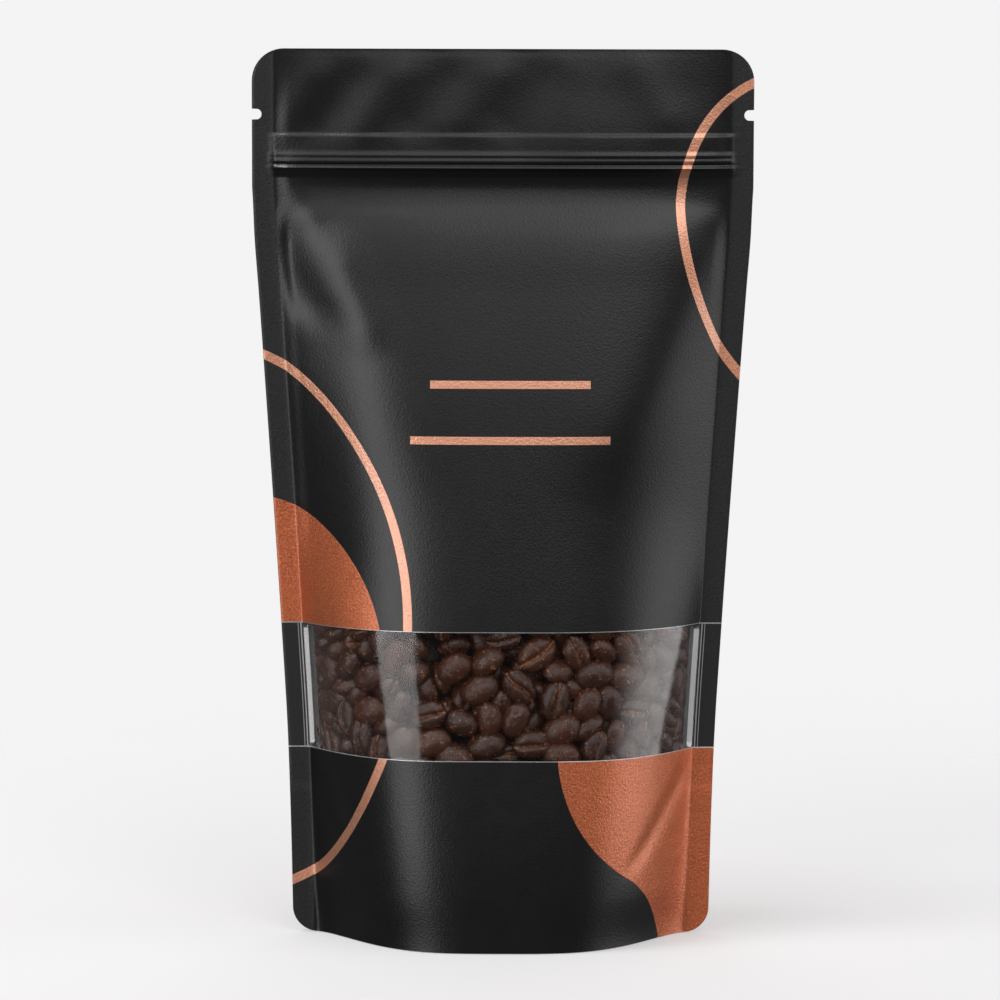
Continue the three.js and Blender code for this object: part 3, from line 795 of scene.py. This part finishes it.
def bean_points(kind):
    """Points of one bean in rings along its length, how near each is to the crease, and its wear.
    Each ring goes over the domed back and then across the flat face, closer together at the crease."""
    dome = np.linspace(0, np.pi, 11)[1:-1]
    half_flat = np.array([0.08, 0.17, 0.34, 0.58, 0.8, 0.94, 1.0])
    flat = np.concatenate([-half_flat[::-1], [0], half_flat])
    share = np.append(np.cos(dome), flat)
    is_dome = np.append(np.ones(len(dome), bool), np.zeros(len(flat), bool))
    lengthwise = np.cos(np.linspace(np.pi, 0, 15)[1:-1])[:, None]
    girth = (1 - np.abs(lengthwise) ** 2.3) ** 0.5
    sway = kind.normal(0, SWAY) * np.sin(2.4 * lengthwise + kind.uniform(-1, 1))
    x = BEAN_LENGTH / 2 * lengthwise + 0 * share
    y = BEAN_WIDTH / 2 * girth * share + sway * (1 - np.abs(share)) * girth
    back = BEAN_BACK * girth * np.sqrt(np.maximum(0, 1 - np.abs(share) ** 2.1))
    face = -BEAN_FACE * girth * (1 - np.abs(share) ** 3.2) ** 0.55
    aside = BEAN_WIDTH / 2 * girth * share
    near = np.exp(-((aside / CREASE_HALF) ** 2)) * (~is_dome)
    lips = np.exp(-(((np.abs(aside) - LIP_OFFSET) / LIP_HALF) ** 2)) * (~is_dome)
    crease_depth = CREASE_DEPTH * near * np.minimum(1, girth * 1.4)
    z = np.where(is_dome, back, face) + crease_depth - LIP_HEIGHT * lips
    phase = kind.uniform(0, 2 * np.pi, 6)
    lumps = np.sin(1.1 * x + phase[0]) * np.sin(1.3 * y + phase[1])
    lumps = lumps + np.sin(2.3 * y + 1.9 * z + phase[2])
    folds = np.sin(3.6 * x + 1.2 * np.sin(1.4 * y + phase[3]) + phase[4])
    folds = folds * np.clip(np.abs(share), 0.2, 1)
    swell = 1 + LUMP_SIZE * lumps + FOLD_SIZE * folds
    bend = kind.normal(0, BEND)
    curl = CURL * x**2 * kind.uniform(-1, 1)
    points = np.stack([x, y * swell + bend * x**2, z * swell + curl], -1)
    wear = np.clip(0.5 + 0.5 * np.sin(1.7 * x + phase[5]) * np.cos(1.1 * y + phase[3]), 0, 1)
    return points, near, wear


TIP_HEIGHT, TIP_CREASE = 0.1, 0.1
bean_meshes, bean_faces, bean_crease, bean_tone = [], [], [], []
total = 0
for number in range(beans):
    rings, near, wear = bean_points(rng)
    tips = np.array([(-BEAN_LENGTH / 2, 0, TIP_HEIGHT), (BEAN_LENGTH / 2, 0, TIP_HEIGHT)])
    shape = np.vstack([rings.reshape(-1, 3), tips]) * scale[number]
    shape = centre[number] + shape @ attitude[number].T
    room = front_depth(shape[:, 0], shape[:, 2]) - FILM_CLEARANCE
    shape[:, 1] += max(0, (-shape[:, 1] - room).max())
    if (shape[:, 1] - room).max() > 0:
        continue                  # too thick for the gap between the two films
    bean_meshes.append(shape)
    around = rings.shape[1]
    numbers = total + np.arange(rings.shape[0] * around).reshape(-1, around)
    looped = np.hstack([numbers, numbers[:, :1]])
    bean_faces.extend(grid_faces(looped, turned=True).tolist())
    tip = total + numbers.size
    for j in range(around):
        bean_faces.append([looped[0, j], looped[0, j + 1], tip])
        bean_faces.append([looped[-1, j + 1], looped[-1, j], tip + 1])
    tone = rng.uniform(0, 1)
    bean_crease.extend(np.append(near.ravel(), [TIP_CREASE, TIP_CREASE]))
    bean_tone.extend(np.append(0.7 * tone + 0.3 * wear.ravel(), [tone, tone]))
    total += len(shape)

DARK_SKIN = (0.012, 0.0044, 0.0025, 1.0)
BROWN_SKIN = (0.080, 0.0240, 0.0105, 1.0)
CHAFF = (0.40, 0.15, 0.06, 1.0)

roasted, shade = new_finish("roasted_bean")
crease_mark = shade.node("Attribute", {"attribute_name": "crease"}, output="Fac")
tone = shade.node("Attribute", {"attribute_name": "tone"}, output="Fac")
patches = shade.noise(420.0, 3.0, 0.6)
speckle = shade.noise(1100.0, 3.0, 0.65)
skin = (tone * 0.7 + patches * 0.5).colour(DARK_SKIN, BROWN_SKIN)
flakes = shade.noise(700.0, 2.0, 0.7)
chaff_spots = shade.maths("MULTIPLY", flakes - 0.61, 12.0, clamped=True) * patches
chaff_left = shade.maths("MULTIPLY", speckle - 0.40, 6.0, clamped=True)
chaff = (crease_mark ** 2.0 * chaff_left * (0.5 + 0.7 * tone)).either(chaff_spots).both(1.0)
skin = chaff.colour(skin, CHAFF)
wrinkle = patches * 0.5 + speckle * 0.4 + shade.noise(2400.0, 1.0, 0.5) * 0.12
normal = shade.node("Bump", {}, {"Strength": 0.8, "Distance": 0.0009, "Height": wrinkle})
surface = shade.node("BsdfPrincipled", {}, {
    "Base Color": skin,
    "Roughness": 0.08 + 0.14 * speckle + 0.35 * chaff,
    "Normal": normal,
    "IOR": 1.5,
})
coat_surface(shade, surface)

roast = mesh_piece("roasted_beans", np.vstack(bean_meshes), bean_faces, [roasted], sharp=75)
mark_points(roast, "crease", bean_crease)
mark_points(roast, "tone", bean_tone)
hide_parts("beans")
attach(roast, "root")


# The rest of the beans, behind the ones that show: one dark lumpy mass that fills the pouch, so
# that no light comes through between the single beans.
CORE_INSET = 2.0
CORE_SIDE_GAP = 8.5
CORE_THINNEST, CORE_BEHIND, CORE_LUMPS = 0.5, 1.0, 0.9
CORE_LOW, CORE_HIGH = 42.0, 100.0
CORE_ROWS, CORE_COLUMNS = 40, 80
core_v = np.linspace(0, 1, CORE_ROWS)[:, None]
core_u = np.sin(np.linspace(-1, 1, CORE_COLUMNS) * np.pi / 2)
core_z = CORE_LOW + (CORE_HIGH - CORE_LOW) * core_v + 0 * core_u
core_x = (inner_width(core_z) - CORE_SIDE_GAP) * core_u
core_depth = front_depth(core_x, core_z)
lumps = CORE_LUMPS * np.sin(core_x * 0.72 + 1.3 * np.sin(core_z * 0.5))
lumps = lumps * np.sin(core_z * 0.8 + core_x * 0.13)
rear = -core_depth + CORE_INSET
core_front = np.maximum(core_depth - LAYER_DEPTH + CORE_BEHIND + lumps, rear + CORE_BEHIND)
core_back = np.minimum(rear, core_front - CORE_THINNEST)
core_sheets = [np.stack([core_x, -depth, core_z], -1) for depth in (core_front, core_back)]
core_points = np.stack(core_sheets).reshape(-1, 3)
core = mesh_piece("bean_mass", core_points, slab_faces(core_x.shape), [roasted])
for mark in ("crease", "tone"):
    mark_points(core, mark, np.zeros(len(core_points)))
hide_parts("beans")
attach(core, "root")


# Floor: a plain pale disc that the pouch stands on. It fades out into the background, so that its
# edge isn't seen.
FLOOR_RADIUS, FLOOR_SOLID, FLOOR_END = 0.55, 0.12, 0.95      # in metres, and a share of the radius
FLOOR_DROP = 0.0002
FLOOR_GLOW, GLOW_COLOUR = 0.345, (1.0, 0.992, 0.996, 1.0)
FLOOR_COLOUR = (0.43, 0.424, 0.426, 1.0)
BOUNCE_COLOUR = (0.3, 0.297, 0.298, 1.0)                     # what the pouch sees of the floor
bpy.ops.mesh.primitive_circle_add(vertices=96, radius=FLOOR_RADIUS, fill_type="NGON")
floor = bpy.context.object
floor.name = "floor"
floor.location.z = -FLOOR_DROP
pale, shade = new_finish("pale_floor")
ground = shade.node("NewGeometry", output="Position")
from_middle = shade.node("VectorMath", {"operation": "LENGTH"}, {0: ground}, output="Value")
fade = {"Value": from_middle, "From Min": FLOOR_SOLID, "From Max": FLOOR_RADIUS * FLOOR_END}
solid = 1 - shade.node("MapRange", {"interpolation_type": "SMOOTHSTEP"}, fade)
seen = shade.node("LightPath", output="Is Camera Ray")
glow = shade.node("Emission", {}, {"Color": GLOW_COLOUR, "Strength": FLOOR_GLOW * seen})
matte = shade.node("BsdfDiffuse", {}, {"Color": seen.colour(BOUNCE_COLOUR, FLOOR_COLOUR)})
lit = shade.node("AddShader", {}, {0: glow, 1: matte})
clear = shade.node("BsdfTransparent")
coat_surface(shade, shade.node("MixShader", {}, {0: solid, 1: clear, 2: lit}))
floor.data.materials.append(pale)
floor.visible_glossy = False


# Light: a studio that surrounds the pouch. A narrow upright softbox stands on the left and a wide
# one on the right, soft panels hang in front and above, and the background is a white sweep. In
# degrees: bearings are 0 in front of the pouch and 90 at its right, heights are above the horizon.
AMBIENT = 0.058
BACKDROP, BACKDROP_COLOUR = 0.905, (1.0, 0.996, 0.997, 1.0)
TABLE, TABLE_EDGE = 0.05, (-12, 4)                           # what the table reflects, from below
PANELS = (                        # brightness, then where it starts, is full, fades and ends
    (3.0, (-55.5, -53, -28.5, -25.5), (-20, -5, 38, 50)),    # left softbox
    (2.0, (46, 74, 97, 100), (-20, -5, 38, 50)),             # right softbox
    (0.70, (-34, -16, 12, 28), (7, 16, 16, 60)),             # panel in front
    (2.0, (-1, 12, 34, 58), (10, 28, 60, 80)),               # high panel on the right
)
SWEEP, SWEEP_EDGE, SWEEP_TOP = 0.75, (122, 150), (50, 90)    # behind, on both sides
CEILING, CEILING_EDGE = 0.6, (30, 60)
world = bpy.data.worlds.new("studio")
bpy.context.scene.world = world
world.use_nodes = True
world.node_tree.nodes.clear()
sky = Shade(world.node_tree)
direction = sky.node("TexCoord", output="Generated")
to_right, to_back, to_top = [sky.node("SeparateXYZ", {}, {0: direction}, output=axis) for axis in range(3)]
DEGREES = float(np.degrees(1))
bearing = sky.maths("ARCTAN2", to_right, 0 - to_back) * DEGREES
height = sky.maths("ARCSINE", to_top) * DEGREES


def rising(value, low, high):
    """Smoothly from 0 where the value is low to 1 where it is high"""
    return sky.node("MapRange", {"interpolation_type": "SMOOTHSTEP"},
                    {"Value": value, "From Min": low, "From Max": high})


def between(value, start, full, fade, end):
    return rising(value, start, full) * (1 - rising(value, fade, end))


around_us = AMBIENT + TABLE * (1 - rising(height, *TABLE_EDGE))
for brightness, bearings, heights in PANELS:
    around_us = around_us + brightness * between(bearing, *bearings) * between(height, *heights)
around_us = around_us + SWEEP * rising(bearing.size(), *SWEEP_EDGE) * (1 - rising(height, *SWEEP_TOP))
around_us = around_us + CEILING * rising(height, *CEILING_EDGE)
seen = sky.node("LightPath", output="Is Camera Ray")
strength = around_us * (1 - seen) + BACKDROP * seen
background = sky.node("Background", {}, {"Color": BACKDROP_COLOUR, "Strength": strength})
sky.node("OutputWorld", {}, {"Surface": background})

# The left softbox as a lamp, for the shadow on the floor and the shading of the beans
KEY_POWER, KEY_WIDTH, KEY_HEIGHT, KEY_AIM = 47.0, 0.8, 0.8, 0.05
KEY_DISTANCE, KEY_BEARING, KEY_ANGLE = 2.6, np.radians(-69.0), np.radians(62.0)
key_data = bpy.data.lights.new("key", "AREA")
key_data.energy = KEY_POWER
key_data.shape = "RECTANGLE"
key_data.size, key_data.size_y = KEY_WIDTH, KEY_HEIGHT
key = bpy.data.objects.new("key", key_data)
key.location = (KEY_DISTANCE * np.cos(KEY_ANGLE) * np.sin(KEY_BEARING),
                -KEY_DISTANCE * np.cos(KEY_ANGLE) * np.cos(KEY_BEARING),
                KEY_DISTANCE * np.sin(KEY_ANGLE) + KEY_AIM)
key.rotation_euler = (np.pi / 2 - KEY_ANGLE, 0, -KEY_BEARING)
bpy.context.scene.collection.objects.link(key)


# Camera: a long lens a little above the pouch, in front of it and far away. It looks at the pouch's
# middle and is rolled by a hair, as the photo is.
LENS_DISTANCE, LENS_ANGLE, LENS_ROLL = 1400.0, np.radians(7.0), np.radians(-0.16)
AIM_X, AIM_HEIGHT = -1.0, 123.5
FOCAL_LENGTH = 179.1
camera_data = bpy.data.cameras.new("camera")
camera_data.lens = FOCAL_LENGTH
camera_data.sensor_width = 36.0
camera_data.clip_start = 0.05
camera_data.clip_end = 30.0
camera = bpy.data.objects.new("camera", camera_data)
camera.location = (AIM_X * MM, -LENS_DISTANCE * np.cos(LENS_ANGLE) * MM,
                   (AIM_HEIGHT + LENS_DISTANCE * np.sin(LENS_ANGLE)) * MM)
camera.rotation_euler = (np.pi / 2 - LENS_ANGLE, LENS_ROLL, 0)
bpy.context.scene.collection.objects.link(camera)
bpy.context.scene.camera = camera
bpy.context.scene.view_settings.view_transform = "Standard"
